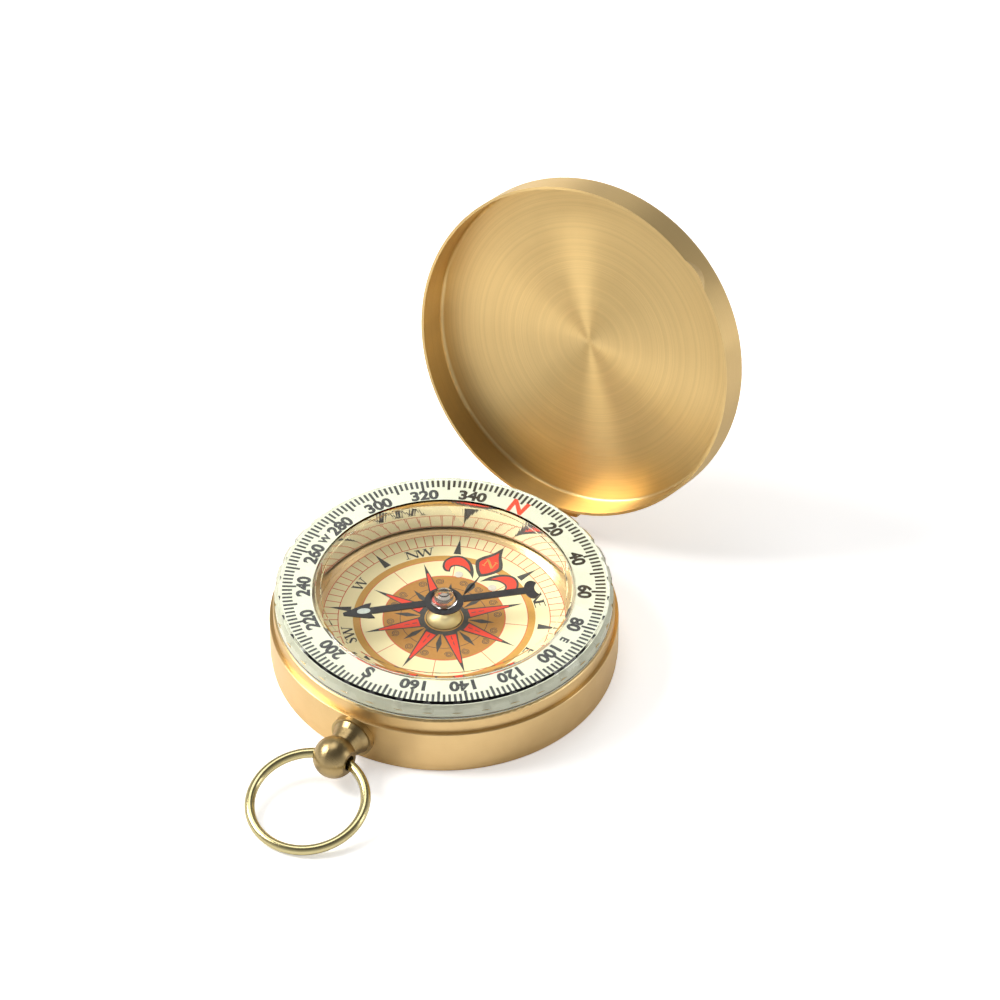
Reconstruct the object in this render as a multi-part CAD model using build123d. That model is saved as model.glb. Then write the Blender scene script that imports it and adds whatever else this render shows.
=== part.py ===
"""Folding brass pocket compass with a rotating toothed bezel, a hinged lid and a pendant bow.

Millimetres, +Z up.  The origin is on the case axis at the flat underside, +Y points to the
lid's hinge and -Y to the pendant.  The lid is built closed and then turned open on its pin.
"""
from build123d import *
import math
import os

os.makedirs("parts", exist_ok=True)

# ---------------------------------------------------------------- driving dimensions
# case
CASE_R = 25.0              # outside of the drawn band
CASE_WALL = 1.0
COVER_INSET = 0.15         # the snap-on back cover is a little smaller than the band
COVER_H = 1.85             # height of the visible cover rim
FLOOR_T = 0.85
LEDGE_Z = 7.4              # step that the lid's lip stops on
NECK_STEP = 0.55           # the neck that the lid slides over stands in from the band
NECK_WALL = 0.85
NECK_TOP_Z = 9.68
NECK_FOOT = 0.6            # how far the neck's inner step reaches below the ledge
EDGE_ROUND = 0.3
SPIGOT_H = 0.5             # back cover's spigot inside the band
SPIGOT_WALL = 0.7
FACE_GAP = 0.02            # between flat faces that lie on each other
GROOVE_DRAFT = 0.01

# bezel
BEZEL_STEP = 0.25          # the bezel stands in from the neck
BEZEL_LIP_GAP = 0.08       # under the bezel's overhang, above the neck
BEZEL_WALL = 0.7
BEZEL_TOP_Z = 12.45
BEVEL_W = 0.85
BEVEL_H = 0.85
COVER_GLASS_T = 0.48       # clear skin over the printed ring
TEETH = 36
NOTCH_R = 1.15
NOTCH_DEPTH = 0.32
NOTCH_FOOT = 0.45          # notch below the bevel
NOTCH_TILT = 20.0
SKIRT_WALL = 0.5
SKIRT_H = 1.45
SNAP_BEAD = 0.22
SNAP_H = 0.45
RUN_GAP = 0.08             # radial running clearance of turning rings

# printed ring
DIAL_BAND = 5.6            # width of the bezel outside the capsule
SCALE_GAP = 0.25           # between the capsule and the printed ring
SCALE_T = 1.5

# capsule
CAP_WALL = 1.0
CAP_FLOOR_T = 0.4
WINDOW_T = 1.2
WINDOW_SEAT = 0.35
CARD_T = 0.25
CARD_GAP = 0.1
PEG_R = 0.62
PEG_RISE = 0.12
PEG_AT = 9.3
PEG_SPREAD = 17.5          # degrees to each side of north
PLUG_R = 1.0
PLUG_IN = 4.6              # filling hole's axis inside the cup's wall
BOSS_R = 2.5
BOSS_RIM = 0.3
BOSS_H = 1.5
PIN_R = 0.35
PIN_RISE = 0.6             # pin's tip above the strip

# needle
NEEDLE_Z = 7.35            # underside of the strip
NEEDLE_T = 0.35
NEEDLE_EYE_R = 2.8
NEEDLE_EYE_BORE = 1.55
TIP_GAP = 3.0              # arrow to the capsule's wall
TAIL_GAP = 4.2
NEEDLE_ARM_W = 1.25
ARROW_L = 3.9
ARROW_W = 3.1
ARROW_BARB = 0.4
TIP_W = 0.5
TAIL_SPAN = 3.6
TAIL_W = 1.15              # half width of the tail's oval
TAIL_BITE_R = 1.75
NEEDLE_BEARING = 221.0     # row angle that the arrow points to
LUME_L = 1.9
LUME_W = 1.1
LUME_T = 0.12
HUB_R = 1.9
HUB_STEP_R = 1.36
HUB_TOP_R = 0.85
HUB_H = 3.2
HUB_SKIRT = 0.45           # hub below the strip
JEWEL_R = 0.75
JEWEL_H = 0.8
JEWEL_GAP = 0.03
PIN_CLEAR = 0.2

# carrier and spring
CARRIER_T = 1.2
CARRIER_TOP_Z = 8.0
CARRIER_LEG_WALL = 1.2
CARRIER_RIB_W = 1.0
CARRIER_RIBS = 6
SPRING_T = 0.12
SPRING_W = 0.45

# lid, flush with the band outside
LID_WALL = 0.38
LID_LIP_Z = 7.45
LID_DEPTH = 5.23
LID_TOP_T = 0.5
LID_CORNER = 1.2
LID_INNER_CORNER = 0.5
LID_OPEN = 107.8           # degrees from shut to the stop
FLARE_AT = 312.0
FLARE_R = 6.0
FLARE_OUT = 0.45
FLARE_H = 1.9

# hinge
PIN_STANDOFF = 1.3         # hinge pin's axis outside the band
PIN_Z = 4.95
HINGE_PIN_R = 0.5
KNUCKLE_R = 1.15
HINGE_L = 11.0
MID_KNUCKLE_L = 3.8
KNUCKLE_GAP = 0.06
PIN_RUN = 0.04
LEAF_T = 0.6
CASE_LEAF_Z = (2.4, 6.7)
LID_LEAF_H = 3.4
LID_LEAF_GAP = 0.15
HEEL_W = 0.7
STOP_GAP = 0.02
TAB_DROP = 0.2

# pendant and bow
PEND_Z = 4.45
BALL_STANDOFF = 5.4        # ball's centre outside the band
BALL_R = 3.05
BALL_FLAT_X = 2.5
BALL_HOLE_R = 1.13
STEM_R = 1.0
COLLAR_FLANGE_R = 3.2
COLLAR_FLANGE_T = 0.8
COLLAR_CONE_R = 2.85
COLLAR_END_R = 2.05
NUT_AF = 3.6
NUT_T = 1.4
BOW_R = 8.2
BOW_WIRE_R = 0.725
BOW_SHIFT_X = 0.3
BOW_IN = 0.25              # wire centre inward of the hole's axis
BOW_DOWN = 0.2             # wire centre below the hole's axis

# ---------------------------------------------------------------- places that follow
neck_r = CASE_R - NECK_STEP
bezel_r = neck_r - BEZEL_STEP
lid_r = CASE_R
lid_bore_r = lid_r - LID_WALL
pin_y = CASE_R + PIN_STANDOFF
ball_y = -CASE_R - BALL_STANDOFF
cover_r = CASE_R - COVER_INSET
case_bore_r = CASE_R - CASE_WALL
neck_bore_r = neck_r - NECK_WALL
cap_z = FLOOR_T
cap_out_r = bezel_r - DIAL_BAND
cap_in_r = cap_out_r - CAP_WALL
scale_in_r = cap_out_r + SCALE_GAP
needle_tip = cap_in_r - TIP_GAP
needle_tail = cap_in_r - TAIL_GAP
card_z = cap_z + CAP_FLOOR_T
card_top_z = card_z + CARD_T
card_r = cap_in_r - CARD_GAP
scale_top_z = BEZEL_TOP_Z - COVER_GLASS_T - FACE_GAP
scale_z = scale_top_z - SCALE_T
scale_out_r = bezel_r - BEZEL_WALL - RUN_GAP
bezel_z = NECK_TOP_Z + BEZEL_LIP_GAP
skirt_out_r = neck_bore_r - RUN_GAP
skirt_z = NECK_TOP_Z - SKIRT_H
hub_z = NEEDLE_Z - HUB_SKIRT
pin_tip_z = NEEDLE_Z + NEEDLE_T + PIN_RISE
lid_floor_z = LID_LIP_Z + LID_DEPTH
lid_top_z = lid_floor_z + LID_TOP_T
hinge_axis = Axis((0, pin_y, PIN_Z), (1, 0, 0))
mid_half = MID_KNUCKLE_L / 2
hinge_zone = 2 * (PIN_STANDOFF + KNUCKLE_R)
nut_corner_r = NUT_AF / math.sqrt(3)
nut_seat_y = -math.sqrt(case_bore_r ** 2 - nut_corner_r ** 2)


# ---------------------------------------------------------------- helpers
def turned(points):
    """Solid of revolution about Z from a closed outline of (radius, height) points."""
    outline = Polyline([(r, 0, z) for r, z in points], close=True)
    return revolve(make_face(outline.edges()), Axis.Z)


def ring(outer, inner, low, high):
    """Plain ring between two radii and two heights."""
    return turned([(inner, low), (outer, low), (outer, high), (inner, high)])


def disc(radius, low, high):
    """Plain cylinder on the case axis."""
    return Pos(0, 0, low) * Cylinder(radius, high - low, align=(Align.CENTER, Align.CENTER, Align.MIN))


def rims(solid, radius, height):
    """Circular edges of a turned piece at one radius and height."""
    found = solid.edges().filter_by(GeomType.CIRCLE)
    return [e for e in found if abs(e.radius - radius) < 1e-4 and abs(e.arc_center.Z - height) < 1e-4]


def along_x(radius, start, end, y=pin_y, z=PIN_Z):
    """Cylinder parallel to X."""
    rod = Cylinder(radius, end - start, rotation=(0, 90, 0))
    return Pos((start + end) / 2, y, z) * rod


def along_y(radius, start, end, z=PEND_Z):
    """Cylinder parallel to Y on the pendant's axis."""
    rod = Cylinder(radius, end - start, rotation=(90, 0, 0))
    return Pos(0, (start + end) / 2, z) * rod


def at_angle(angle, piece):
    """Turn a piece about the case axis."""
    return Rot(0, 0, angle) * piece


def opened(piece):
    """Turn a piece of the shut lid to the open stop."""
    return piece.rotate(hinge_axis, -LID_OPEN)


def save(name, *solids):
    """Write one node."""
    shape = solids[0] if len(solids) == 1 else Compound(children=list(solids))
    export_step(shape, f"parts/{name}.step")


# ---------------------------------------------------------------- case
def case_band():
    """Drawn band with the neck that the lid slides over."""
    groove_r = skirt_out_r + SNAP_BEAD + RUN_GAP
    groove_top = skirt_z + SNAP_H + BEZEL_LIP_GAP
    groove_low = skirt_z - BEZEL_LIP_GAP
    band = turned([
        (case_bore_r, COVER_H),
        (CASE_R, COVER_H),
        (CASE_R, LEDGE_Z),
        (neck_r, LEDGE_Z),
        (neck_r, NECK_TOP_Z),
        (neck_bore_r, NECK_TOP_Z),
        (neck_bore_r, groove_top),
        (groove_r, groove_top - GROOVE_DRAFT),
        (groove_r, groove_low),
        (neck_bore_r, groove_low - GROOVE_DRAFT),
        (neck_bore_r, LEDGE_Z - NECK_FOOT),
        (case_bore_r, LEDGE_Z - NECK_FOOT),
    ])
    band = fillet(rims(band, CASE_R, LEDGE_Z), EDGE_ROUND / 2)
    band = fillet(rims(band, neck_r, NECK_TOP_Z), EDGE_ROUND)
    return band - along_y(STEM_R, -CASE_R - STEM_R, -case_bore_r + STEM_R)


def back_cover():
    """Snap-on dished cover that closes the band from below."""
    spigot_r = case_bore_r
    cover = turned([
        (0, 0),
        (cover_r, 0),
        (cover_r, COVER_H),
        (spigot_r, COVER_H),
        (spigot_r, COVER_H + SPIGOT_H),
        (spigot_r - SPIGOT_WALL, COVER_H + SPIGOT_H),
        (spigot_r - SPIGOT_WALL, FLOOR_T),
        (0, FLOOR_T),
    ])
    return fillet(rims(cover, cover_r, 0), EDGE_ROUND * 2)


def capsule_carrier():
    """Moulded ring that centres the capsule in the case."""
    leg_r = case_bore_r - SPIGOT_WALL - NUT_T
    flange_r = neck_bore_r
    leg_in = cap_out_r
    carrier = turned([
        (leg_in, FLOOR_T),
        (leg_in + CARRIER_LEG_WALL, FLOOR_T),
        (leg_in + CARRIER_LEG_WALL, CARRIER_TOP_Z - CARRIER_T),
        (flange_r, CARRIER_TOP_Z - CARRIER_T),
        (flange_r, CARRIER_TOP_Z),
        (leg_in, CARRIER_TOP_Z),
    ])
    rib = Box(leg_r - leg_in, CARRIER_RIB_W, CARRIER_TOP_Z - CARRIER_T - FLOOR_T,
              align=(Align.MIN, Align.CENTER, Align.MIN))
    for index in range(CARRIER_RIBS):
        carrier += at_angle(360 / CARRIER_RIBS * index, Pos(leg_in + CARRIER_LEG_WALL / 4, 0, FLOOR_T) * rib)
    return carrier


# ---------------------------------------------------------------- capsule
def capsule_cup():
    """Clear cup that holds the liquid, with its floor and two locating pegs' holes."""
    cup = turned([
        (0, cap_z),
        (cap_out_r, cap_z),
        (cap_out_r, BEZEL_TOP_Z),
        (cap_in_r, BEZEL_TOP_Z),
        (cap_in_r, card_z),
        (0, card_z),
    ])
    cup = chamfer(rims(cup, cap_out_r, BEZEL_TOP_Z), EDGE_ROUND / 2)
    for side in (-1, 1):
        cup -= peg_shape(side)
    return cup - fill_plug()


def capsule_window():
    """Clear disc glued into the cup's mouth, stepped on its underside."""
    low = BEZEL_TOP_Z - WINDOW_T
    window = turned([
        (0, low),
        (cap_in_r - WINDOW_SEAT, low),
        (cap_in_r - WINDOW_SEAT, low + WINDOW_T / 3),
        (cap_in_r, low + WINDOW_T / 3),
        (cap_in_r, BEZEL_TOP_Z),
        (0, BEZEL_TOP_Z),
    ])
    return window


def fill_plug():
    """Plug in the cup's floor that closes the filling hole."""
    return Pos(0, PLUG_IN - cap_in_r, 0) * disc(PLUG_R, cap_z, card_z)


def peg_shape(side):
    """One locating peg through card and cup floor."""
    angle = math.radians(90 + side * PEG_SPREAD)
    place = Pos(PEG_AT * math.cos(angle), PEG_AT * math.sin(angle), 0)
    return place * disc(PEG_R, cap_z, card_top_z + PEG_RISE)


def compass_card():
    """Printed disc on the capsule's floor."""
    card = ring(card_r, PIN_R, card_z, card_top_z)
    for side in (-1, 1):
        card -= peg_shape(side)
    return card


def pivot_boss():
    """Domed cap at the card's centre that carries the pivot pin."""
    rim_top = card_top_z + BOSS_RIM
    rise = BOSS_H - BOSS_RIM
    dome_r = (BOSS_R ** 2 + rise ** 2) / (2 * rise)
    base = disc(BOSS_R, card_top_z, rim_top)
    dome = Pos(0, 0, rim_top + rise - dome_r) * Sphere(dome_r)
    dome = dome & disc(BOSS_R, rim_top, rim_top + rise)
    return base + dome - disc(PIN_R, card_top_z - rise, rim_top + 2 * rise)


def pivot_pin():
    """Hardened pin with a conical tip under the needle's jewel."""
    cone_h = PIN_R * 2
    return turned([
        (0, card_z),
        (PIN_R, card_z),
        (PIN_R, pin_tip_z - cone_h),
        (0, pin_tip_z),
    ])


# ---------------------------------------------------------------- needle
def needle_plate():
    """Flat steel strip: eye, two arms, arrow head and crescent tail, pointing along +X."""
    half = NEEDLE_ARM_W / 2
    neck_x = needle_tip - ARROW_L
    tail_x = -needle_tail
    arm = Rectangle(neck_x + needle_tail - TAIL_W, NEEDLE_ARM_W, align=(Align.MIN, Align.CENTER))
    shape = Pos(tail_x + TAIL_W, 0) * arm
    shape += Circle(NEEDLE_EYE_R)
    head = Polyline([
        (neck_x, -half),
        (neck_x - ARROW_BARB, -ARROW_W / 2),
        (neck_x + ARROW_BARB, -ARROW_W / 2 + ARROW_BARB / 4),
        (needle_tip, -TIP_W / 2),
        (needle_tip, TIP_W / 2),
        (neck_x + ARROW_BARB, ARROW_W / 2 - ARROW_BARB / 4),
        (neck_x - ARROW_BARB, ARROW_W / 2),
        (neck_x, half),
    ], close=True)
    shape += make_face(head.edges())
    shape += Pos(tail_x + TAIL_W / 2, 0) * Ellipse(TAIL_W, TAIL_SPAN / 2)
    shape -= Pos(tail_x - TAIL_BITE_R + TAIL_W / 5, 0) * Circle(TAIL_BITE_R)
    shape -= Circle(NEEDLE_EYE_BORE)
    return shape


def compass_needle():
    """Magnetised strip, turned to its bearing."""
    strip = Pos(0, 0, NEEDLE_Z) * extrude(needle_plate(), NEEDLE_T)
    return at_angle(NEEDLE_BEARING, strip)


def needle_lume():
    """Luminous drop on the arrow head."""
    drop = Pos(needle_tip - ARROW_L + LUME_L / 2, 0, NEEDLE_Z + NEEDLE_T)
    oval = extrude(Ellipse(LUME_L / 2, LUME_W / 2), LUME_T)
    return at_angle(NEEDLE_BEARING, drop * oval)


def needle_hub():
    """Clear stepped cap that carries the strip and holds the jewel."""
    strip_top = NEEDLE_Z + NEEDLE_T
    top = strip_top + HUB_H
    hub = turned([
        (0, hub_z),
        (NEEDLE_EYE_BORE, hub_z),
        (NEEDLE_EYE_BORE, strip_top),
        (HUB_R, strip_top),
        (HUB_R, strip_top + HUB_H * 0.35),
        (HUB_STEP_R, strip_top + HUB_H * 0.42),
        (HUB_STEP_R, strip_top + HUB_H * 0.78),
        (HUB_TOP_R, strip_top + HUB_H * 0.84),
        (HUB_TOP_R, top),
        (0, top),
    ])
    hub -= disc(PIN_R + PIN_CLEAR, hub_z - HUB_SKIRT, jewel_low())
    return hub - disc(JEWEL_R, jewel_low(), jewel_low() + JEWEL_H)


def jewel_low():
    """Underside of the jewel, level with the start of the pin's cone."""
    return pin_tip_z - PIN_R * 2 + JEWEL_GAP


def needle_jewel():
    """Cup jewel that rides on the pin's tip."""
    low = jewel_low()
    cone_h = PIN_R * 2
    jewel = disc(JEWEL_R, low, low + JEWEL_H)
    hollow = turned([
        (0, low - JEWEL_GAP),
        (PIN_R + JEWEL_GAP, low - JEWEL_GAP),
        (PIN_R + JEWEL_GAP, low),
        (0, low + cone_h + JEWEL_GAP),
    ])
    return jewel - hollow


# ---------------------------------------------------------------- bezel
def bezel_ring():
    """Clear toothed ring: skin over the print, outer wall, and a skirt that snaps in the neck."""
    skin_z = BEZEL_TOP_Z - COVER_GLASS_T
    wall_in = bezel_r - BEZEL_WALL
    skirt_in = skirt_out_r - SKIRT_WALL
    inner_r = cap_out_r + RUN_GAP
    bezel = turned([
        (inner_r, skin_z),
        (wall_in, skin_z),
        (wall_in, scale_z - FACE_GAP),
        (skirt_in, scale_z - FACE_GAP),
        (skirt_in, skirt_z),
        (skirt_out_r, skirt_z),
        (skirt_out_r + SNAP_BEAD, skirt_z + SNAP_H / 2),
        (skirt_out_r, skirt_z + SNAP_H),
        (skirt_out_r, bezel_z),
        (bezel_r, bezel_z),
        (bezel_r, BEZEL_TOP_Z - BEVEL_H),
        (bezel_r - BEVEL_W, BEZEL_TOP_Z),
        (inner_r, BEZEL_TOP_Z),
    ])
    notch_z = BEZEL_TOP_Z - BEVEL_H - NOTCH_FOOT
    notch = Cylinder(NOTCH_R, 2 * (BEVEL_H + NOTCH_FOOT), rotation=(0, -NOTCH_TILT, 0),
                     align=(Align.CENTER, Align.CENTER, Align.MIN))
    cutter = Pos(bezel_r + NOTCH_R - NOTCH_DEPTH, 0, notch_z) * notch
    for index in range(TEETH):
        bezel -= at_angle((index + 0.5) * 360 / TEETH, cutter)
    return bezel


def scale_ring():
    """Luminous ring that carries the degree print, under the bezel's clear skin."""
    return ring(scale_out_r, scale_in_r, scale_z, scale_top_z)


def bezel_spring():
    """Thin friction washer between the carrier and the bezel's skirt."""
    middle = skirt_out_r - SKIRT_WALL / 2
    low = CARRIER_TOP_Z
    high = skirt_z - FACE_GAP
    return ring(middle + SPRING_W / 2, middle - SPRING_W / 2, low, high)


# ---------------------------------------------------------------- lid
def lid_shell():
    """Shallow dished lid with a thumb flare in its lip."""
    outer = disc(lid_r, LID_LIP_Z, lid_top_z)
    outer = fillet(rims(outer, lid_r, lid_top_z), LID_CORNER)
    flare_x = lid_r + FLARE_OUT - FLARE_R
    bump = Cone(FLARE_R, FLARE_R - FLARE_OUT, FLARE_H, align=(Align.CENTER, Align.CENTER, Align.MIN))
    outer += at_angle(FLARE_AT, Pos(flare_x, 0, LID_LIP_Z) * bump)
    hollow = disc(lid_bore_r, LID_LIP_Z, lid_floor_z)
    hollow = fillet(rims(hollow, lid_bore_r, lid_floor_z), LID_INNER_CORNER)
    hollow += at_angle(FLARE_AT, Pos(flare_x - (lid_r - lid_bore_r), 0, LID_LIP_Z) * bump)
    return outer - hollow


def lid_leaf():
    """Hinge leaf on the lid's wall with the middle knuckle and the stop heel."""
    leaf_low = LID_LIP_Z + LID_LEAF_GAP
    band = ring(lid_r + LEAF_T, lid_r, leaf_low, leaf_low + LID_LEAF_H)
    window = Pos(0, lid_r, leaf_low) * Box(HINGE_L - LEAF_T, hinge_zone, LID_LEAF_H,
                                           align=(Align.CENTER, Align.CENTER, Align.MIN))
    leaf = band & window
    reach_y = lid_r + LEAF_T
    tab_outline = Polyline([
        (0, reach_y - LEAF_T + LID_LEAF_GAP, leaf_low),
        (0, reach_y, leaf_low + LEAF_T + TAB_DROP),
        (0, reach_y + LEAF_T, leaf_low + TAB_DROP),
        (0, pin_y + KNUCKLE_R, PIN_Z + TAB_DROP),
        (0, pin_y, PIN_Z),
        (0, pin_y - KNUCKLE_R * 0.9, PIN_Z + KNUCKLE_R * 0.4),
    ], close=True)
    tab = extrude(make_face(tab_outline.edges()), mid_half, dir=(1, 0, 0), both=True)
    knuckle = along_x(KNUCKLE_R, -mid_half, mid_half)
    heel_reach = pin_y - (CASE_R + LEAF_T) - STOP_GAP
    heel = Box(MID_KNUCKLE_L, heel_reach, HEEL_W, align=(Align.CENTER, Align.MAX, Align.MIN))
    heel = Pos(0, pin_y, PIN_Z - KNUCKLE_R) * heel
    heel = heel.rotate(hinge_axis, LID_OPEN)
    body = leaf + tab + knuckle + heel
    body -= disc(lid_r, LID_LIP_Z - LID_LEAF_H, lid_top_z)
    return body - along_x(HINGE_PIN_R + PIN_RUN, -HINGE_L, HINGE_L)


def case_leaf():
    """Hinge leaf on the band's wall with the two outer knuckles."""
    low, high = CASE_LEAF_Z
    band = ring(CASE_R + LEAF_T, CASE_R, low, high)
    window = Pos(0, CASE_R, low) * Box(HINGE_L, hinge_zone, high - low,
                                       align=(Align.CENTER, Align.CENTER, Align.MIN))
    leaf = band & window
    inner = mid_half + KNUCKLE_GAP
    for side in (-1, 1):
        span = sorted((side * inner, side * HINGE_L / 2))
        leaf += along_x(KNUCKLE_R, *span)
    slot = Box(2 * inner, hinge_zone, high, align=(Align.CENTER, Align.CENTER, Align.MIN))
    leaf -= Pos(0, pin_y, PIN_Z - KNUCKLE_R - KNUCKLE_GAP) * slot
    leaf -= disc(CASE_R, 0, lid_top_z)
    return leaf - along_x(HINGE_PIN_R, -HINGE_L, HINGE_L)


def hinge_pin():
    """Pin through all three knuckles."""
    return along_x(HINGE_PIN_R, -HINGE_L / 2, HINGE_L / 2)


# ---------------------------------------------------------------- pendant
def pendant_collar():
    """Flanged collar between the case wall and the ball."""
    wall_y = -case_bore_r
    seat_y = ball_y + math.sqrt(BALL_R ** 2 - COLLAR_END_R ** 2)
    flange_y = -CASE_R - COLLAR_FLANGE_T
    outline = Polyline([
        (0, wall_y, PEND_Z),
        (0, wall_y, PEND_Z + COLLAR_FLANGE_R),
        (0, flange_y, PEND_Z + COLLAR_FLANGE_R),
        (0, flange_y, PEND_Z + COLLAR_CONE_R),
        (0, flange_y - COLLAR_FLANGE_T, PEND_Z + (COLLAR_CONE_R + COLLAR_END_R) / 2),
        (0, seat_y, PEND_Z + COLLAR_END_R),
        (0, seat_y, PEND_Z),
    ], close=True)
    collar = revolve(make_face(outline.edges()), Axis((0, 0, PEND_Z), (0, 1, 0)))
    collar -= disc(CASE_R, 0, LEDGE_Z)
    collar -= disc(lid_r + RUN_GAP, LEDGE_Z - RUN_GAP, lid_top_z)
    collar -= Pos(0, ball_y, PEND_Z) * Sphere(BALL_R)
    return collar - along_y(STEM_R, ball_y, -case_bore_r)


def pendant_ball():
    """Ball with two flats and a cross hole for the bow, on a stem through the case wall."""
    ball = Pos(0, ball_y, PEND_Z) * Sphere(BALL_R)
    ball &= Pos(0, ball_y, PEND_Z) * Box(2 * BALL_FLAT_X, 3 * BALL_R, 3 * BALL_R)
    stem_end = nut_seat_y + NUT_T + EDGE_ROUND
    ball += along_y(STEM_R, ball_y, stem_end)
    return ball - along_x(BALL_HOLE_R, -2 * BALL_R, 2 * BALL_R, ball_y, PEND_Z)


def pendant_nut():
    """Hexagon nut inside the band that holds the pendant."""
    nut = extrude(RegularPolygon(NUT_AF / 2, 6, major_radius=False), NUT_T)
    nut = Pos(0, nut_seat_y + NUT_T, PEND_Z) * Rot(90, 0, 0) * nut
    return nut - along_y(STEM_R, nut_seat_y - NUT_T, nut_seat_y + 2 * NUT_T)


def bow_ring():
    """Round wire ring through the ball, its far side resting on the ground."""
    drop = PEND_Z - BOW_WIRE_R
    reach = 2 * BOW_R - BOW_IN
    # solve z of the far wire = wire radius for the droop angle
    droop = 0.0
    for _ in range(40):
        droop = math.asin((drop - BOW_DOWN * math.cos(droop)) / reach)
    wire = Torus(BOW_R, BOW_WIRE_R)
    wire = Pos(BOW_SHIFT_X, -(BOW_R - BOW_IN), -BOW_DOWN) * wire
    return Pos(0, ball_y, PEND_Z) * (Rot(math.degrees(droop), 0, 0) * wire)


save("case_band", case_band())
save("back_cover", back_cover())
save("capsule_carrier", capsule_carrier())
save("capsule_cup", capsule_cup())
save("capsule_window", capsule_window())
save("fill_plug", fill_plug())
save("compass_card", compass_card())
save("card_pegs", peg_shape(-1), peg_shape(1))
save("pivot_boss", pivot_boss())
save("pivot_pin", pivot_pin())
save("compass_needle", compass_needle())
save("needle_lume", needle_lume())
save("needle_hub", needle_hub())
save("needle_jewel", needle_jewel())
save("bezel_ring", bezel_ring())
save("scale_ring", scale_ring())
save("bezel_spring", bezel_spring())
save("lid_shell", opened(lid_shell()))
save("lid_leaf", opened(lid_leaf()))
save("case_leaf", case_leaf())
save("hinge_pin", hinge_pin())
save("pendant_collar", pendant_collar())
save("pendant_ball", pendant_ball())
save("pendant_nut", pendant_nut())
save("bow_ring", bow_ring())
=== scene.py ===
"""Folding brass pocket compass: metal finishes, clear capsule, dial and card print, light and camera."""

import math

import bpy
from mathutils import Matrix, Vector


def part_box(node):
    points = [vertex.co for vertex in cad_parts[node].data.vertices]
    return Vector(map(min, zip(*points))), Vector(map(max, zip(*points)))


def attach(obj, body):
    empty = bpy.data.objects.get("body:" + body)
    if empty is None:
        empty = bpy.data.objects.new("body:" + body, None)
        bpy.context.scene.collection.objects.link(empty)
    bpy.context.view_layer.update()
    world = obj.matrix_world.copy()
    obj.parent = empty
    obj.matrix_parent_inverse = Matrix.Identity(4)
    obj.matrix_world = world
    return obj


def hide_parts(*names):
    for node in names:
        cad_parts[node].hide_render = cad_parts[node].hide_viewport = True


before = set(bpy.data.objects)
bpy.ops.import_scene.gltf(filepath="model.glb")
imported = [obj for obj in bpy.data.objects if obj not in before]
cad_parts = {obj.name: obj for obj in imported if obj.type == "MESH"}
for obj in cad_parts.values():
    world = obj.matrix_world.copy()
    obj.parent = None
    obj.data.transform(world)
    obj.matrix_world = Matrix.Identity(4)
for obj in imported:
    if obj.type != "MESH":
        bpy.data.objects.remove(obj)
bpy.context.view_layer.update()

MM = 0.001
TAU = 2 * math.pi

# ---------------------------------------------------------------- sizes in millimetres, row frame
CARD_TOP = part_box("compass_card")[1].z / MM
WINDOW_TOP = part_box("capsule_window")[1].z / MM
CAP_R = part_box("capsule_cup")[1].x / MM
CAP_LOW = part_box("capsule_cup")[0].z / MM
RING_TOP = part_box("scale_ring")[1].z / MM
PENDANT_Z = 4.45            # axis of the collar and the ball
LID_OPEN = math.radians(107.8)
HINGE = Vector((0, 26.3, 4.95)) * MM
LID_AXIS = Vector((0, math.sin(LID_OPEN), math.cos(LID_OPEN)))
LID_CENTRE = HINGE + Matrix.Rotation(-LID_OPEN, 3, "X") @ (Vector((0, 0, 0)) - HINGE)
INK = 0.008                 # thickness of one layer of print
BEND_LINE = 0.35            # part of a letter's height where the arc keeps its width
BLOCK_R = CAP_R - 0.2       # clear block that stands for cup, window and liquid
BLOCK_LOW = CAP_LOW + 0.02


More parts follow.
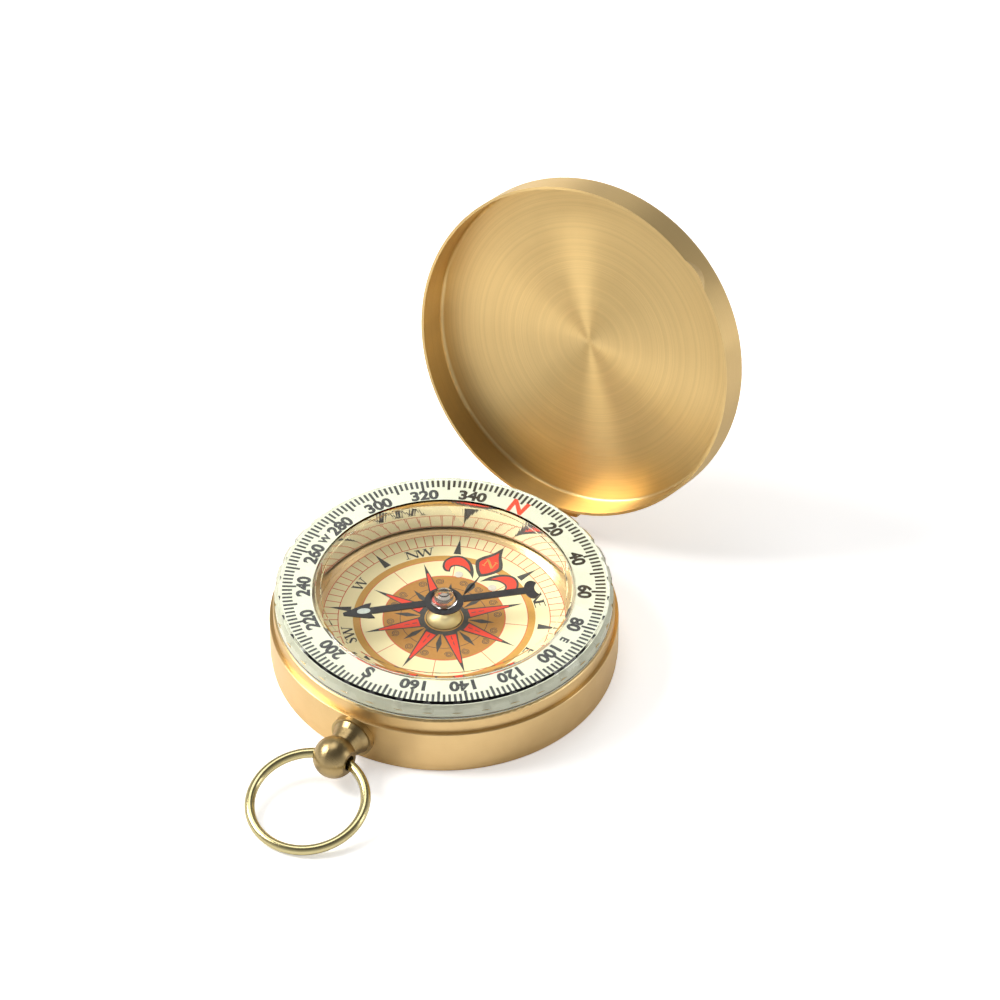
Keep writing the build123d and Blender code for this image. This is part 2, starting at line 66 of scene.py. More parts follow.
# ---------------------------------------------------------------- node helper
class Net:
    """One node material with a Principled shader."""

    def __init__(self, name):
        self.mat = bpy.data.materials.new(name)
        self.mat.use_nodes = True
        self.tree = self.mat.node_tree
        self.tree.nodes.clear()
        self.out = self.add("OutputMaterial")
        self.bsdf = self.add("BsdfPrincipled")
        self.tree.links.new(self.bsdf.outputs[0], self.out.inputs["Surface"])

    def add(self, kind, **props):
        node = self.tree.nodes.new("ShaderNode" + kind)
        for key, value in props.items():
            setattr(node, key, value)
        return node

    def put(self, node, key, value):
        socket = node.inputs[key]
        if isinstance(value, bpy.types.NodeSocket):
            self.tree.links.new(value, socket)
        elif hasattr(socket, "default_value"):
            if socket.type == "RGBA" and len(value) == 3:
                value = (*value, 1)
            socket.default_value = value

    def set(self, **values):
        for key, value in values.items():
            self.put(self.bsdf, key.replace("_", " "), value)
        return self

    def math(self, op, *args):
        node = self.add("Math", operation=op)
        for index, value in enumerate(args):
            self.put(node, index, value)
        return node.outputs[0]

    def vmath(self, op, *args, out=0):
        node = self.add("VectorMath", operation=op)
        for index, value in enumerate(args):
            self.put(node, "Scale" if op == "SCALE" and index == 1 else index, value)
        return node.outputs[out]

    def mm(self):
        """Object coordinates in millimetres."""
        place = self.add("TexCoord").outputs["Object"]
        return self.vmath("SCALE", place, 1 / MM)

    def noise(self, place, scale, detail=3.0, rough=0.55):
        node = self.add("TexNoise")
        self.put(node, "Vector", place)
        self.put(node, "Scale", scale)
        self.put(node, "Detail", detail)
        self.put(node, "Roughness", rough)
        return node.outputs["Fac"]

    def span(self, value, low, high, to_low=0.0, to_high=1.0):
        node = self.add("MapRange")
        for key, number in zip(("Value", "From Min", "From Max", "To Min", "To Max"),
                               (value, low, high, to_low, to_high)):
            self.put(node, key, number)
        return node.outputs[0]

    def mix(self, fac, a, b):
        node = self.add("Mix", data_type="RGBA")
        self.put(node, 0, fac)
        self.put(node, 6, a)
        self.put(node, 7, b)
        return node.outputs[2]

    def bump(self, height, distance, strength):
        node = self.add("Bump")
        self.put(node, "Height", height)
        self.put(node, "Distance", distance * MM)
        self.put(node, "Strength", strength)
        return node.outputs[0]

    def combine(self, x, y, z):
        node = self.add("CombineXYZ")
        for index, value in enumerate((x, y, z)):
            self.put(node, index, value)
        return node.outputs[0]

    def turned(self, centre, axis):
        """Radius and height about an axis in millimetres, and the direction across the marks."""
        away = self.vmath("SUBTRACT", self.mm(), tuple(Vector(centre) / MM))
        height = self.vmath("DOT_PRODUCT", away, tuple(axis), out=1)
        along = self.vmath("SCALE", tuple(axis), height)
        flat = self.vmath("SUBTRACT", away, along)
        radius = self.vmath("LENGTH", flat, out=1)
        around = self.vmath("NORMALIZE", self.vmath("CROSS_PRODUCT", tuple(axis), flat))
        to_world = self.add("VectorTransform", vector_type="VECTOR",
                            convert_from="OBJECT", convert_to="WORLD")
        self.put(to_world, 0, around)
        normal = self.add("NewGeometry").outputs["Normal"]
        across = self.vmath("NORMALIZE", self.vmath("CROSS_PRODUCT", normal, to_world.outputs[0]))
        return radius, height, across


def brass(name, base, dark, rough=0.3, aniso=0.8, centre=(0, 0, 0), axis=(0, 0, 1), marks=0.5, stain=0.3,
          fine=9.0):
    """Turned or brushed brass: marks run round one axis, with slight staining."""
    net = Net(name)
    place = net.mm()
    radius, height, across = net.turned(centre, axis)
    line = net.combine(radius, height, 0.0)
    coarse = net.noise(line, fine, 4, 0.7)
    fine_lines = net.noise(line, fine * 5, 2, 0.6)
    cloud = net.noise(place, 0.12, 3, 0.6)
    speck = net.noise(place, 2.6, 4, 0.65)
    streak = net.math("ADD", net.math("MULTIPLY", coarse, 0.6), net.math("MULTIPLY", fine_lines, 0.4))
    tone = net.math("MULTIPLY", net.span(streak, 0.35, 0.65), marks)
    colour = net.mix(tone, base, tuple(0.8 * c for c in base))
    worn = net.math("MULTIPLY", net.span(cloud, 0.42, 0.72), stain)
    colour = net.mix(worn, colour, dark)
    net.set(Base_Color=colour, Metallic=1.0, Anisotropic=aniso)
    rough_out = net.math("ADD", rough, net.math("MULTIPLY", net.math("SUBTRACT", streak, 0.5), 0.25))
    rough_out = net.math("ADD", rough_out, net.math("MULTIPLY", net.math("SUBTRACT", speck, 0.5), 0.08))
    net.set(Roughness=rough_out, Tangent=across)
    net.set(Normal=net.bump(streak, 0.012, 0.5 * marks))
    return net.mat


def plastic(name, base, other, rough=0.4, scale=0.6, amount=0.4, bump=0.01):
    """Moulded or printed surface with faint mottling."""
    net = Net(name)
    place = net.mm()
    patch = net.noise(place, scale, 4, 0.6)
    grain = net.noise(place, scale * 14, 3, 0.6)
    fac = net.math("MULTIPLY", net.span(patch, 0.35, 0.7), amount)
    net.set(Base_Color=net.mix(fac, base, other))
    net.set(Roughness=net.math("ADD", rough, net.math("MULTIPLY", net.math("SUBTRACT", grain, 0.5), 0.12)))
    if bump:
        net.set(Normal=net.bump(grain, bump, 0.3))
    return net.mat


def clear(name, ior, tint=(1, 1, 1), rough=0.0, smears=0.02):
    """Clear moulding: refracts, and lets the lamps' light through to what is inside."""
    net = Net(name)
    grain = net.noise(net.mm(), 0.5, 3, 0.5)
    net.set(Base_Color=tint, Transmission_Weight=1.0, IOR=ior)
    net.set(Roughness=net.math("ADD", rough, net.math("MULTIPLY", net.span(grain, 0.55, 0.85), smears)))
    path = net.add("LightPath")
    shadow = net.add("BsdfTransparent")
    net.put(shadow, "Color", (0.93, 0.93, 0.92))
    mixed = net.add("MixShader")
    net.put(mixed, 0, path.outputs["Is Shadow Ray"])
    net.tree.links.new(net.bsdf.outputs[0], mixed.inputs[1])
    net.tree.links.new(shadow.outputs[0], mixed.inputs[2])
    net.tree.links.new(mixed.outputs[0], net.out.inputs["Surface"])
    return net.mat


# ---------------------------------------------------------------- mesh helpers
def mesh_piece(name, verts, faces, material, body):
    """Mesh from points in millimetres, riding on a body."""
    mesh = bpy.data.meshes.new(name)
    mesh.from_pydata([tuple(MM * c for c in v) for v in verts], [], faces)
    mesh.validate()
    mesh.update()
    piece = bpy.data.objects.new(name, mesh)
    bpy.context.scene.collection.objects.link(piece)
    mesh.materials.append(material)
    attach(piece, body)
    return piece


def lathe(profile, steps=180, closed=True):
    """Vertices and quads of a profile of (radius, height) turned about Z; radius 0 makes a pole."""
    verts = []
    rows = []
    for r, z in profile:
        if r < 1e-9:
            rows.append([len(verts)] * steps)
            verts.append((0, 0, z))
        else:
            rows.append(list(range(len(verts), len(verts) + steps)))
            verts.extend((r * math.cos(TAU * k / steps), r * math.sin(TAU * k / steps), z)
                         for k in range(steps))
    faces = []
    pairs = list(zip(rows, rows[1:]))
    if closed:
        pairs.append((rows[-1], rows[0]))
    for low, high in pairs:
        if low[0] == low[-1] and high[0] == high[-1]:
            continue
        for k in range(steps):
            n = (k + 1) % steps
            face = [low[k], low[n], high[n], high[k]]
            face = [v for i, v in enumerate(face) if v != face[i - 1]]
            if len(face) > 2:
                faces.append(face)
    return verts, faces


class Print:
    """Gathers flat shapes of one ink on one level and makes them a thin solid."""

    def __init__(self, level, thick=INK):
        self.verts = []
        self.faces = []
        self.low = level
        self.high = level + thick

    def prism(self, tops, rims):
        """tops: faces over one list of points; rims: closed loops of indices."""
        points, faces = tops
        start = len(self.verts)
        count = len(points)
        self.verts.extend((x, y, self.high) for x, y in points)
        self.verts.extend((x, y, self.low) for x, y in points)
        for face in faces:
            self.faces.append([start + v for v in face])
            self.faces.append([start + count + v for v in reversed(face)])
        for rim in rims:
            for a, b in zip(rim, rim[1:] + rim[:1]):
                self.faces.append([start + b, start + a, start + count + a, start + count + b])

    def shape(self, points):
        """Filled outline, anticlockwise."""
        area = sum(a[0] * b[1] - b[0] * a[1] for a, b in zip(points, points[1:] + points[:1]))
        if area < 0:
            points = points[::-1]
        self.prism((points, [list(range(len(points)))]), [list(range(len(points)))])

    def stroke(self, points, width, closed=False):
        """Line of even or tapering width along points."""
        count = len(points)
        widths = width if isinstance(width, (list, tuple)) else [width] * count
        left = []
        right = []
        for i, (x, y) in enumerate(points):
            before = points[i - 1] if (i or closed) else points[i]
            after = points[(i + 1) % count] if (i < count - 1 or closed) else points[i]
            dx, dy = after[0] - before[0], after[1] - before[1]
            size = math.hypot(dx, dy) or 1.0
            nx, ny = -dy / size * widths[i] / 2, dx / size * widths[i] / 2
            left.append((x + nx, y + ny))
            right.append((x - nx, y - ny))
        both = left + right
        last = count if closed else count - 1
        faces = []
        for i in range(last):
            n = (i + 1) % count
            faces.append([i, count + i, count + n, n])
        if closed:
            rims = [list(range(count, 2 * count)), list(range(count))[::-1]]
        else:
            rims = [list(range(count, 2 * count)) + list(range(count))[::-1]]
        self.prism((both, faces), rims)

    def circle(self, radius, width, steps=180):
        self.stroke([polar(radius, 360 * k / steps) for k in range(steps)], width, closed=True)

    def disc(self, radius, steps=160):
        self.shape([(radius * math.cos(TAU * k / steps), radius * math.sin(TAU * k / steps))
                    for k in range(steps)])

    def piece(self, name, material, body, slot):
        return mesh_piece(name, self.verts, self.faces, material, body)


def polar(radius, bearing):
    """Point at a radius and a clockwise bearing from north, in degrees."""
    a = math.radians(bearing)
    return radius * math.sin(a), radius * math.cos(a)


def at_bearing(points, bearing):
    """Turn points drawn with north up to a bearing."""
    a = math.radians(bearing)
    return [(x * math.cos(a) + y * math.sin(a), -x * math.sin(a) + y * math.cos(a)) for x, y in points]


def bent(points, steps=8):
    """Closed Catmull-Rom curve through points; a point with a third value is a sharp corner."""
    out = []
    count = len(points)
    for i in range(count):
        p0, p1, p2, p3 = (points[(i + k) % count] for k in (-1, 0, 1, 2))
        if len(p1) > 2:
            p0 = p1
        if len(p2) > 2:
            p3 = p2
        for k in range(steps):
            t = k / steps
            w = (-0.5 * t + t * t - 0.5 * t ** 3, 1 - 2.5 * t * t + 1.5 * t ** 3,
                 0.5 * t + 2 * t * t - 1.5 * t ** 3, -0.5 * t * t + 0.5 * t ** 3)
            out.append(tuple(sum(w[j] * (p0, p1, p2, p3)[j][c] for j in range(4)) for c in (0, 1)))
    return out


def label(sheet, words, size, radius, bearing, weight, wide=1.0):
    """Sets words with their tops outward, centred on a bearing, and adds them to a print sheet."""
    data = bpy.data.curves.new("letters", "FONT")
    data.body = words
    data.size = size
    data.align_x = "CENTER"
    data.offset = weight
    data.resolution_u = 5
    text = bpy.data.objects.new("letters", data)
    bpy.context.scene.collection.objects.link(text)
    bpy.context.view_layer.update()
    flat = bpy.data.meshes.new_from_object(text.evaluated_get(bpy.context.evaluated_depsgraph_get()))
    bpy.data.objects.remove(text)
    points = []
    for v in flat.vertices:
        x, y = v.co.x * wide, v.co.y
        points.append(polar(radius + y, bearing + math.degrees(x / (radius + size * BEND_LINE))))
    faces = [list(p.vertices) for p in flat.polygons]
    edges = {}
    for face in faces:
        for a, b in zip(face, face[1:] + face[:1]):
            edges[(a, b)] = edges.get((a, b), 0) + 1
    rim = [(a, b) for a, b in edges if (b, a) not in edges]
    start = len(sheet.verts)
    count = len(points)
    sheet.verts.extend((x, y, sheet.high) for x, y in points)
    sheet.verts.extend((x, y, sheet.low) for x, y in points)
    for face in faces:
        sheet.faces.append([start + v for v in face])
        sheet.faces.append([start + count + v for v in reversed(face)])
    for a, b in rim:
        sheet.faces.append([start + b, start + a, start + count + a, start + count + b])
    bpy.data.meshes.remove(flat)


def dress(node, material):
    """Give a CAD node its finish."""
    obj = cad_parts[node]
    obj.data.materials.clear()
    obj.data.materials.append(material)


# ---------------------------------------------------------------- finishes
CASE = brass("case_finish", (0.80, 0.57, 0.27), (0.62, 0.40, 0.17), 0.34, 0.7, marks=0.35)
LID = brass("lid_finish", (0.80, 0.57, 0.25), (0.66, 0.42, 0.16), 0.33, 0.93,
            LID_CENTRE, LID_AXIS, 0.8, 0.1, 5.0)
HINGE_METAL = brass("hinge_finish", (0.72, 0.50, 0.23), (0.42, 0.27, 0.11), 0.3, 0.3)
PENDANT = brass("pendant_finish", (0.52, 0.39, 0.19), (0.25, 0.17, 0.07), 0.3, 0.6,
                Vector((0, 0, PENDANT_Z)) * MM, (0, 1, 0), 0.8, 0.6)
BOW = brass("bow_finish", (0.62, 0.54, 0.28), (0.34, 0.28, 0.12), 0.2, 0.0, marks=0.1)
CARRIER = plastic("carrier_finish", (0.62, 0.55, 0.40), (0.50, 0.44, 0.30), 0.6)
CREAM = plastic("card_cream", (0.88, 0.79, 0.46), (0.84, 0.74, 0.42), 0.5)
RING_PALE = plastic("scale_pale", (0.62, 0.63, 0.50), (0.56, 0.57, 0.45), 0.45, 0.35)
INK_BLACK = plastic("ink_black", (0.012, 0.012, 0.012), (0.03, 0.03, 0.03), 0.5, 3.0, 0.5, 0)
INK_GREY = plastic("ink_grey", (0.05, 0.05, 0.045), (0.09, 0.085, 0.07), 0.55, 3.0, 0.6, 0)
INK_RED = plastic("ink_red", (0.80, 0.05, 0.02), (0.70, 0.07, 0.03), 0.5, 3.0, 0.5, 0)
INK_RED_LINE = plastic("ink_red_line", (0.66, 0.12, 0.05), (0.58, 0.16, 0.07), 0.5, 3.0, 0.5, 0)
INK_OCHRE = plastic("ink_ochre", (0.48, 0.23, 0.045), (0.42, 0.19, 0.03), 0.5, 2.0, 0.6, 0)
INK_GOLD = plastic("ink_gold", (0.60, 0.33, 0.06), (0.52, 0.27, 0.05), 0.45, 2.0, 0.6, 0)
NEEDLE = plastic("needle_paint", (0.012, 0.012, 0.014), (0.03, 0.03, 0.03), 0.35, 2.0, 0.5)
LUME = plastic("lume_paint", (0.45, 0.50, 0.46), (0.36, 0.40, 0.37), 0.6, 3.0, 0.8)
PEG = plastic("peg_finish", (0.70, 0.66, 0.55), (0.60, 0.57, 0.50), 0.25, 3.0, 0.8)
GILT = brass("boss_finish", (0.86, 0.74, 0.40), (0.70, 0.55, 0.25), 0.42, 0.0, marks=0.1)
STEEL = brass("steel_finish", (0.55, 0.55, 0.55), (0.4, 0.4, 0.4), 0.25, 0.3, marks=0.3)
JEWEL = plastic("jewel_finish", (0.75, 0.72, 0.68), (0.65, 0.62, 0.6), 0.1, 3.0, 0.5, 0)
GLASS = clear("capsule_clear", 1.46, (0.995, 0.99, 0.97))
SKIN = clear("bezel_clear", 1.49, (0.97, 0.985, 0.97))
HUB = clear("hub_clear", 1.35, (0.95, 0.92, 0.90), 0.12)

for node, material in {
    "case_band": CASE, "back_cover": CASE, "capsule_carrier": CARRIER, "fill_plug": CARRIER,
    "compass_card": CREAM, "card_pegs": PEG, "pivot_boss": GILT, "pivot_pin": STEEL,
    "compass_needle": NEEDLE, "needle_lume": LUME, "needle_hub": HUB, "needle_jewel": JEWEL,
    "bezel_ring": SKIN, "scale_ring": RING_PALE, "bezel_spring": STEEL,
    "lid_shell": LID, "lid_leaf": HINGE_METAL, "case_leaf": HINGE_METAL, "hinge_pin": HINGE_METAL,
    "pendant_collar": PENDANT, "pendant_ball": PENDANT, "pendant_nut": HINGE_METAL, "bow_ring": BOW,
}.items():
    dress(node, material)

# ---------------------------------------------------------------- capsule
SEAM_R = 17.6
verts, faces = lathe([
    (0, BLOCK_LOW), (BLOCK_R, BLOCK_LOW), (BLOCK_R, WINDOW_TOP - 0.18), (BLOCK_R - 0.15, WINDOW_TOP),
    (SEAM_R + 0.08, WINDOW_TOP), (SEAM_R, WINDOW_TOP - 0.12), (SEAM_R - 0.08, WINDOW_TOP), (0, WINDOW_TOP),
], closed=False)
capsule = mesh_piece("capsule_body", verts, faces, GLASS, "case")
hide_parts("capsule_cup", "capsule_window")

# ---------------------------------------------------------------- degree ring
RING_IN = 18.85             # inner radius of the printed ring
RING_EDGE_R = 23.62         # its edge, in contact with the bezel's clear wall
RING_RIM_IN = 22.95
RING_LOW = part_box("scale_ring")[0].z / MM
RING_RIM_LOW = RING_LOW - 0.55
verts, faces = lathe([
    (RING_IN, RING_LOW), (RING_RIM_IN, RING_LOW), (RING_RIM_IN, RING_RIM_LOW), (RING_EDGE_R, RING_RIM_LOW),
    (RING_EDGE_R, RING_TOP), (RING_IN, RING_TOP),
], 360)
scale_body = mesh_piece("scale_body", verts, faces, RING_PALE, "bezel")
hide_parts("scale_ring")

BEZEL_SET = 1.35            # bearing of the ring's north from the hinge
TICKS = 180
LONG_EVERY = 5
TICK_OUT = 23.1
LONG_IN, LONG_HALF = 21.05, 0.2
SHORT_IN, SHORT_HALF = 21.65, 0.19
ticks = Print(RING_TOP - INK / 2)
for index in range(TICKS):
    inner, half = (SHORT_IN, SHORT_HALF) if index % LONG_EVERY else (LONG_IN, LONG_HALF)
    ticks.shape(at_bearing([(-half, inner), (half, inner), (half, TICK_OUT), (-half, TICK_OUT)],
                           BEZEL_SET + 2 * index))
for value in range(20, 360, 20):
    if value % 90:
        label(ticks, str(value), 2.6, 19.2, BEZEL_SET + value, 0.12, 1.05)
label(ticks, "E", 1.7, 19.55, BEZEL_SET + 90, 0.08)
label(ticks, "W", 1.7, 19.55, BEZEL_SET + 270, 0.08)
label(ticks, "S", 2.9, 19.1, BEZEL_SET + 180, 0.13)
ticks.piece("ring_print", INK_BLACK, "bezel", "scale_plastic")
north = Print(RING_TOP - INK / 2)
label(north, "N", 3.6, 19.1, BEZEL_SET, 0.15, 1.0)
north.piece("ring_north", INK_RED, "bezel", "scale_plastic")

# ---------------------------------------------------------------- card print
layer = [CARD_TOP + INK * (k + 0.2) for k in range(8)]
gold = Print(layer[0])
gold.circle(12.55, 1.05)
gold.piece("card_gold_band", INK_GOLD, "case", "card_print")
ochre = Print(layer[0])
ochre.disc(8.7)
ochre.piece("card_rose_disc", INK_OCHRE, "case", "card_print")

POINTS = 8                  # rays of the rose
STEP = 360 / POINTS
RED_OUT, RED_IN, DIVISIONS = 17.4, 15.2, 80
red_line = Print(layer[1])
for radius, width in ((RED_OUT, 0.12), (RED_IN, 0.12), (12.03, 0.12), (8.75, 0.16)):
    red_line.circle(radius, width)
for index in range(DIVISIONS):
    bearing = 360 / DIVISIONS * index
    red_line.stroke([polar(RED_IN, bearing), polar(RED_OUT, bearing)], 0.12)
for index in range(POINTS):
    bearing = STEP * (index + 0.5)
    red_line.stroke([polar(8.8, bearing), polar(12.05, bearing)], 0.1)
red_line.piece("card_red_lines", INK_RED_LINE, "case", "card_print")

dark = Print(layer[2])
dark.circle(6.3, 0.09)


def spiral(centre, side, start, turns=2.1, steps=40):
    """Curl that opens outward from a small eye."""
    points = []
    for k in range(steps + 1):
        t = k / steps
        angle = side * (t * turns * TAU) + start
        reach = 0.12 + 0.5 * t
        points.append((centre[0] + reach * math.cos(angle), centre[1] + reach * math.sin(angle)))
    return points


for index in range(POINTS):
    bearing = STEP * index
    dark.shape(at_bearing([(-0.55, 13.5), (0.55, 13.5), (0, 16.7)], bearing + STEP / 2))
    dark.shape(at_bearing([(0, 3.4), (0.42, 5.4), (0, 7.3), (-0.42, 5.4)], bearing + STEP / 2))
    for side in (-1, 1):
        dark.stroke(spiral(polar(7.65, bearing + side * 9.5), side, index), 0.1)
dark.piece("card_dark_marks", INK_GREY, "case", "card_print")

rays = Print(layer[3])
red = Print(layer[4])
dashes = Print(layer[5])
for index in range(1, POINTS):      # north has its own figure
    bearing = STEP * index
    rays.shape(at_bearing([(-1.08, 3.3), (1.08, 3.3), (0, 11.7)], bearing))
    red.shape(at_bearing([(-0.78, 3.7), (0.78, 3.7), (0.12, 9.6), (-0.12, 9.6)], bearing))
    dashes.stroke([polar(4.0, bearing), polar(4.7, bearing)], 0.14)
    dashes.stroke([polar(5.1, bearing), polar(5.9, bearing)], 0.12)
rays.piece("card_ray_outlines", INK_GREY, "case", "card_print")
red.piece("card_rays", INK_RED, "case", "card_print")
dashes.piece("card_ray_dashes", INK_GREY, "case", "card_print")

# north figure: three petals on a stem
PETAL = [(0, 9.9, 1), (-1.0, 10.8), (-2.05, 12.5), (-1.75, 13.7), (-0.7, 15.2), (0, 17.0, 1),
         (0.7, 15.2), (1.75, 13.7), (2.05, 12.5), (1.0, 10.8)]
PETAL_IN = [(0, 10.6, 1), (-0.75, 11.3), (-1.45, 12.6), (-1.2, 13.5), (-0.45, 14.7), (0, 15.7, 1),
            (0.45, 14.7), (1.2, 13.5), (1.45, 12.6), (0.75, 11.3)]
SIDE = [(-0.6, 9.1, 1), (-1.3, 10.6), (-2.5, 11.9), (-4.1, 12.45), (-5.4, 11.9), (-6.05, 10.5),
        (-5.7, 9.2), (-4.9, 8.55), (-4.2, 8.75, 1), (-4.45, 9.6), (-4.0, 10.25), (-2.9, 10.4), (-1.6, 9.9)]
SIDE_IN = [(-1.7, 10.3, 1), (-2.7, 11.5), (-4.1, 12.1), (-5.2, 11.6), (-5.75, 10.5), (-5.45, 9.4),
           (-4.8, 8.85), (-4.5, 8.95, 1), (-4.7, 9.8), (-4.1, 10.5), (-2.9, 10.7)]
figure = Print(layer[3])
figure.shape(bent(PETAL))
figure.stroke([(0, 10.1), (0.05, 8.8), (0, 5.2)], [0.16, 0.3, 0.2])
figure.shape(bent([(0, 8.6, 1), (-0.55, 7.6), (0, 5.4, 1), (0.55, 7.6)]))
figure_red = Print(layer[4])
figure_red.shape(bent(PETAL_IN))
for side in (1, -1):
    figure.shape(bent([(side * p[0], *p[1:]) for p in SIDE]))
    figure_red.shape(bent([(side * p[0], *p[1:]) for p in SIDE_IN]))
figure.piece("card_north_outline", INK_GREY, "case", "card_print")
figure_red.piece("card_north_petals", INK_RED, "case", "card_print")

SERIF = {
    "N": [[(0, 0), (0, 1)], [(0, 1), (1, 0)], [(1, 0), (1, 1)]],
    "W": [[(0, 1), (0.36, 0)], [(0.36, 0), (0.72, 1)], [(0.72, 1), (1.08, 0)], [(1.08, 0), (1.44, 1)]],
    "E": [[(0, 0), (0, 1)], [(0, 0), (0.7, 0)], [(0, 1), (0.7, 1)], [(0, 0.5), (0.5, 0.5)]],
}
SERIF_FOOT = {"N": [(0, 0), (0, 1), (1, 1)], "W": [(0, 1), (0.72, 1), (1.44, 1)], "E": [(0, 0), (0, 1)]}
SERIF_THICK = {"N": (0.6, 1.5, 0.6), "W": (1.5, 0.6, 1.5, 0.6), "E": (1.5, 0.6, 0.6, 0.6)}
SERIF_GAP = 0.16
SERIF_FOOT_HALF = 0.2
SERIF_WIDE = {"N": 1.0, "W": 1.44, "E": 0.7, "S": 0.72}
S_CURVE = [(0.66, 0.82), (0.52, 0.97), (0.30, 1.0), (0.10, 0.88), (0.10, 0.68), (0.34, 0.53), (0.58, 0.38),
           (0.64, 0.20), (0.48, 0.03), (0.24, 0.0), (0.06, 0.16)]


def serif(sheet, words, height, radius, bearing, pen=0.15):
    """Roman capitals made of thick and thin strokes with small feet."""
    total = sum(SERIF_WIDE[c] for c in words) + SERIF_GAP * (len(words) - 1)
    x = -total / 2
    for c in words:
        if c == "S":
            points = [(x + px, py) for px, py in S_CURVE]
            lines = [(points, [pen * w for w in (0.7, 0.8, 1, 1.3, 1.5, 1.6, 1.5, 1.3, 1, 0.8, 0.7)])]
        else:
            lines = [([(x + px, py) for px, py in line], pen * thick)
                     for line, thick in zip(SERIF[c], SERIF_THICK[c])]
            for fx, fy in SERIF_FOOT[c]:
                lines.append(([(x + fx - SERIF_FOOT_HALF, fy), (x + fx + SERIF_FOOT_HALF, fy)], pen * 0.5))
        for points, width in lines:
            wide = [w * height for w in width] if isinstance(width, list) else width * height
            placed = [(px * height, radius + py * height) for px, py in points]
            sheet.stroke(at_bearing(placed, bearing), wide)
        x += SERIF_WIDE[c] + SERIF_GAP


names = Print(layer[2])
for words, bearing in (("NE", 45), ("E", 90), ("SE", 135), ("S", 180), ("SW", 225), ("W", 270), ("NW", 315)):
    serif(names, words, 1.45, 13.25, bearing)
names.piece("card_points", INK_GREY, "case", "card_print")
mark = Print(layer[5])
serif(mark, "N", 1.35, 12.35, 0, 0.16)
mark.piece("card_north_mark", INK_GOLD, "case", "card_print")

hub_ring = Print(layer[5])
hub_ring.circle(3.0, 0.95)
hub_ring.piece("card_hub_ring", INK_GREY, "case", "card_print")
hub_gold = Print(layer[6])
hub_gold.circle(2.72, 0.16)
hub_gold.piece("card_hub_gold", INK_GOLD, "case", "card_print")

# ---------------------------------------------------------------- floor, light, camera
stage = Net("floor_white")
path = stage.add("LightPath")
seen = stage.math("MAXIMUM", path.outputs["Is Camera Ray"],
                  stage.math("MAXIMUM", path.outputs["Is Glossy Ray"], path.outputs["Is Transmission Ray"]))
grain = stage.noise(stage.mm(), 0.02, 2)
glow = stage.math("MULTIPLY", path.outputs["Is Camera Ray"], 0.4)
stage.set(Base_Color=stage.mix(seen, (0.78, 0.78, 0.78), (1.12, 1.11, 1.105)), Specular_IOR_Level=0.0,
          Roughness=stage.math("ADD", 0.9, stage.math("MULTIPLY", grain, 0.05)),
          Emission_Color=(1, 1, 1), Emission_Strength=glow)
FLOOR_R, FLOOR_DROP = 4000, 0.02
verts, faces = lathe([(0, -FLOOR_DROP), (FLOOR_R, -FLOOR_DROP)], 96, closed=False)
mesh = bpy.data.meshes.new("floor")
mesh.from_pydata([tuple(MM * c for c in v) for v in verts], [], faces)
mesh.materials.append(stage.mat)
floor = bpy.data.objects.new("floor", mesh)
bpy.context.scene.collection.objects.link(floor)

world = bpy.data.worlds.new("studio")
bpy.context.scene.world = world
world.use_nodes = True
tree = world.node_tree
tree.nodes.clear()


def wnode(kind, **props):
    node = tree.nodes.new("ShaderNode" + kind)
    for key, value in props.items():
        setattr(node, key, value)
    return node


def wmath(op, *args):
    node = wnode("Math", operation=op)
    for index, value in enumerate(args):
        if isinstance(value, bpy.types.NodeSocket):
            tree.links.new(value, node.inputs[index])
        else:
            node.inputs[index].default_value = value
    return node.outputs[0]


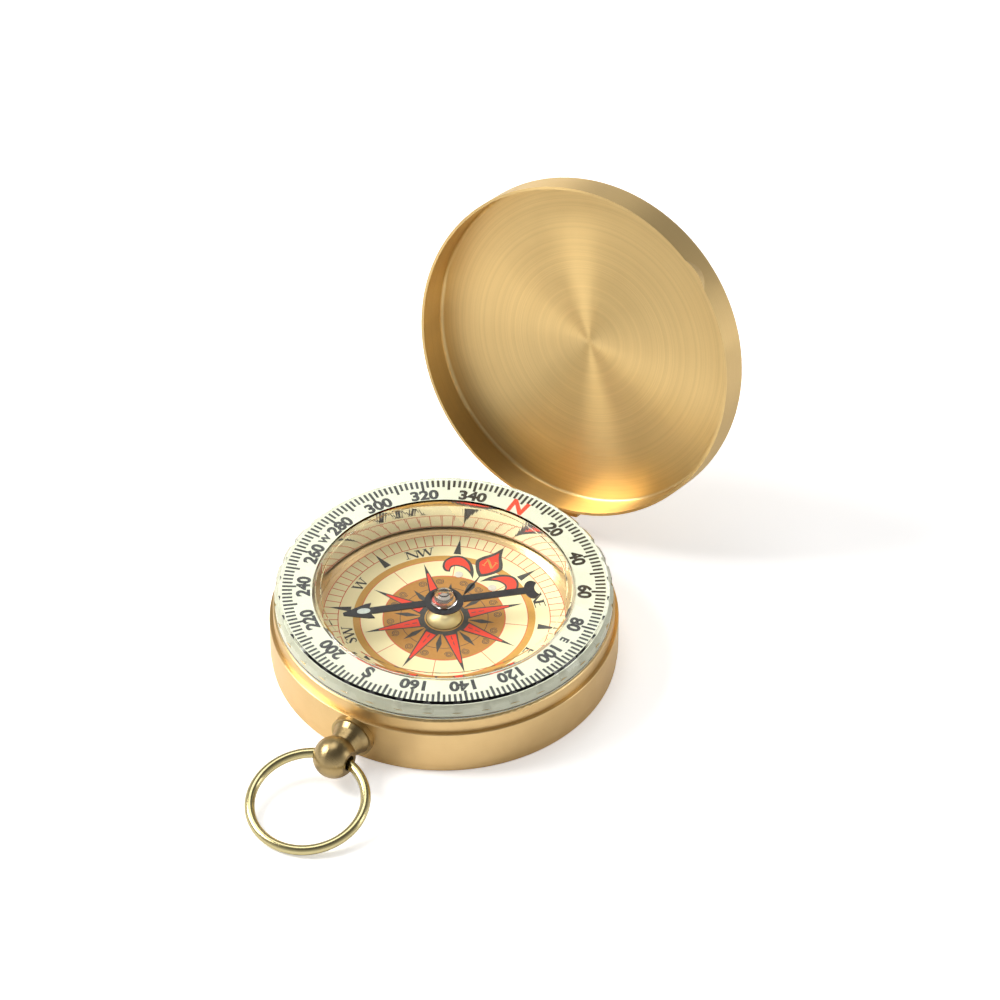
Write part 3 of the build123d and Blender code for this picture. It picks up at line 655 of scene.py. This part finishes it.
path = wnode("LightPath")
place = wnode("TexCoord").outputs["Generated"]
split = wnode("SeparateXYZ")
tree.links.new(place, split.inputs[0])
rise = wmath("ABSOLUTE", split.outputs[2])
sky = wnode("MapRange")
tree.links.new(rise, sky.inputs["Value"])
for key, value in (("From Min", 0.15), ("From Max", 0.75), ("To Min", 0.72), ("To Max", 0.16)):
    sky.inputs[key].default_value = value
seen = wmath("MAXIMUM", path.outputs["Is Camera Ray"], path.outputs["Is Transmission Ray"])
level = wmath("MAXIMUM", seen, wmath("MULTIPLY", sky.outputs[0], path.outputs["Is Glossy Ray"]))
level = wmath("MAXIMUM", level, wmath("MULTIPLY", path.outputs["Is Diffuse Ray"], 0.28))
background = wnode("Background")
background.inputs["Color"].default_value = (1, 1, 1, 1)
tree.links.new(level, background.inputs["Strength"])
out = wnode("OutputWorld")
tree.links.new(background.outputs[0], out.inputs[0])

AZ, EL = math.radians(30.2605), math.radians(42.2744)
BACK = Vector((math.sin(AZ) * math.cos(EL), -math.cos(AZ) * math.cos(EL), math.sin(EL)))
RIGHT = Vector((math.cos(AZ), math.sin(AZ), 0))
UP = BACK.cross(RIGHT)
AHEAD = Vector((-math.sin(AZ), math.cos(AZ), 0))
ROLL = math.radians(-0.088)
LENS = 235.09
CAMERA_BACK, CAMERA_RIGHT, CAMERA_UP = 939.461, 7.992, 21.703


def softbox(name, aim, distance, size, power, colour=(1, 1, 1)):
    """Rectangular lamp at aim = (right, away, up) from the object, facing it."""
    data = bpy.data.lights.new(name, "AREA")
    data.shape = "RECTANGLE"
    data.size, data.size_y = size
    data.energy = power
    data.color = colour
    lamp = bpy.data.objects.new(name, data)
    bpy.context.scene.collection.objects.link(lamp)
    away = (RIGHT * aim[0] + AHEAD * aim[1] + Vector((0, 0, aim[2]))).normalized()
    target = Vector((0, 0, 0.015))
    lamp.location = target + away * distance
    lamp.rotation_euler = away.to_track_quat("Z", "Y").to_euler()


softbox("key", (-0.72, 0.12, 0.68), 0.75, (0.34, 0.34), 4.6, (1, 0.985, 0.96))
softbox("top", (-0.1, 0.3, 1.0), 0.9, (0.5, 0.5), 1.8)
softbox("side", (0.9, -0.1, 0.25), 0.8, (0.2, 0.5), 0.8)

scene = bpy.context.scene
scene.view_settings.view_transform = "Standard"
data = bpy.data.cameras.new("camera")
data.lens = LENS
data.sensor_width = 36
data.clip_start, data.clip_end = 0.05, 20
camera = bpy.data.objects.new("camera", data)
scene.collection.objects.link(camera)
right = RIGHT * math.cos(ROLL) + UP * math.sin(ROLL)
up = -RIGHT * math.sin(ROLL) + UP * math.cos(ROLL)
spot = (BACK * CAMERA_BACK + right * CAMERA_RIGHT + up * CAMERA_UP) * MM
camera.matrix_world = Matrix.Translation(spot) @ Matrix((right, up, BACK)).transposed().to_4x4()
scene.camera = camera
